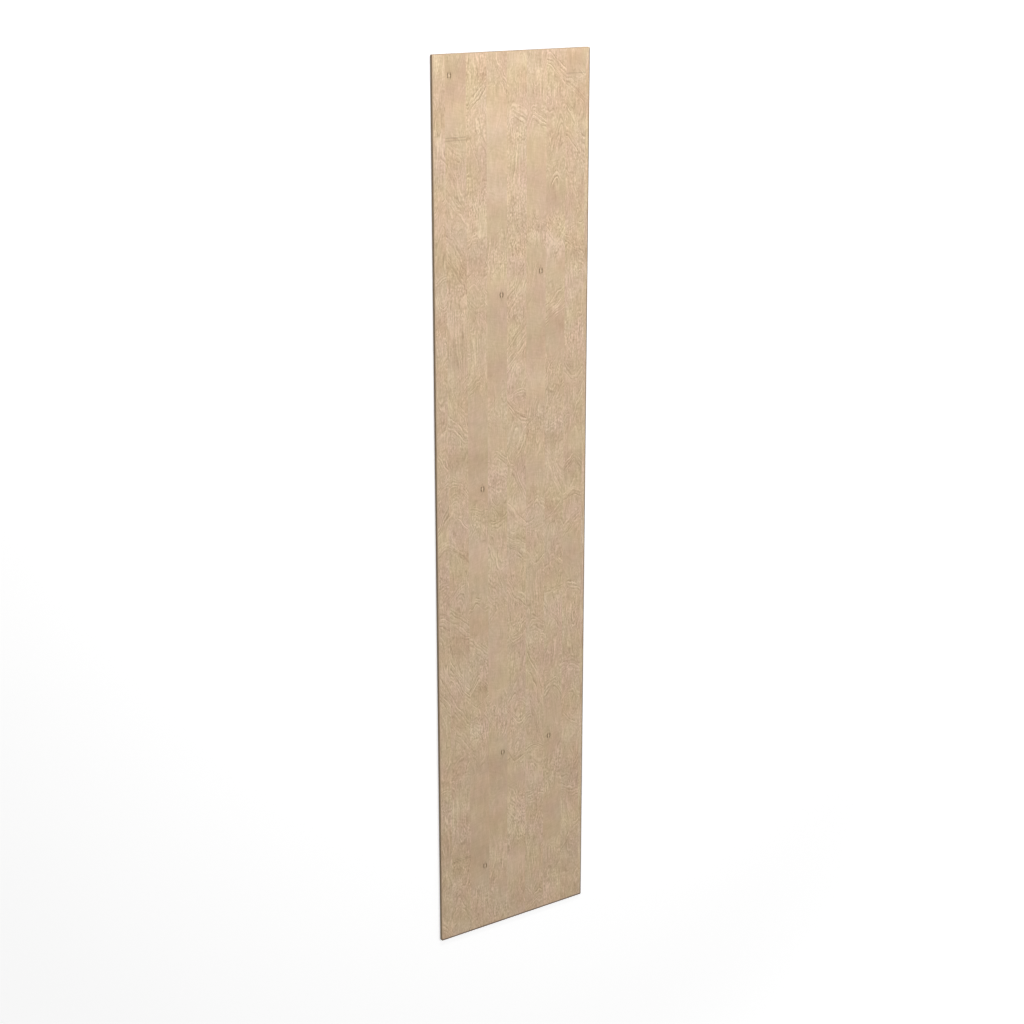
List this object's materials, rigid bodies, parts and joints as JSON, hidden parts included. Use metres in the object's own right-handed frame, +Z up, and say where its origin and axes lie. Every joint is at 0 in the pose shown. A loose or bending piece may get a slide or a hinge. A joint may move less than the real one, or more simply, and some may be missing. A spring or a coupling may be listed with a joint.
{
  "type": "plywood sheet",
  "caption": "Long narrow plywood sheet lying flat, with a strip-figured birch face, small pin knots, square sawn ends and lightly sanded arrises.",
  "frame": {"origin": "middle of the back face, on which the sheet lies", "axes": "+X across the face grain, +Y along the face grain and the sheet's length, +Z up through the plies to the show face"},
  "size_m": [0.305, 1.525, 0.0065],
  "materials": {
    "birch_plywood": "bare sanded veneer, matt to satin, with the plies showing on the sawn edges"
  },
  "bodies": {
    "root": {"plywood_sheet": "birch_plywood"}
  },
  "joints": []
}
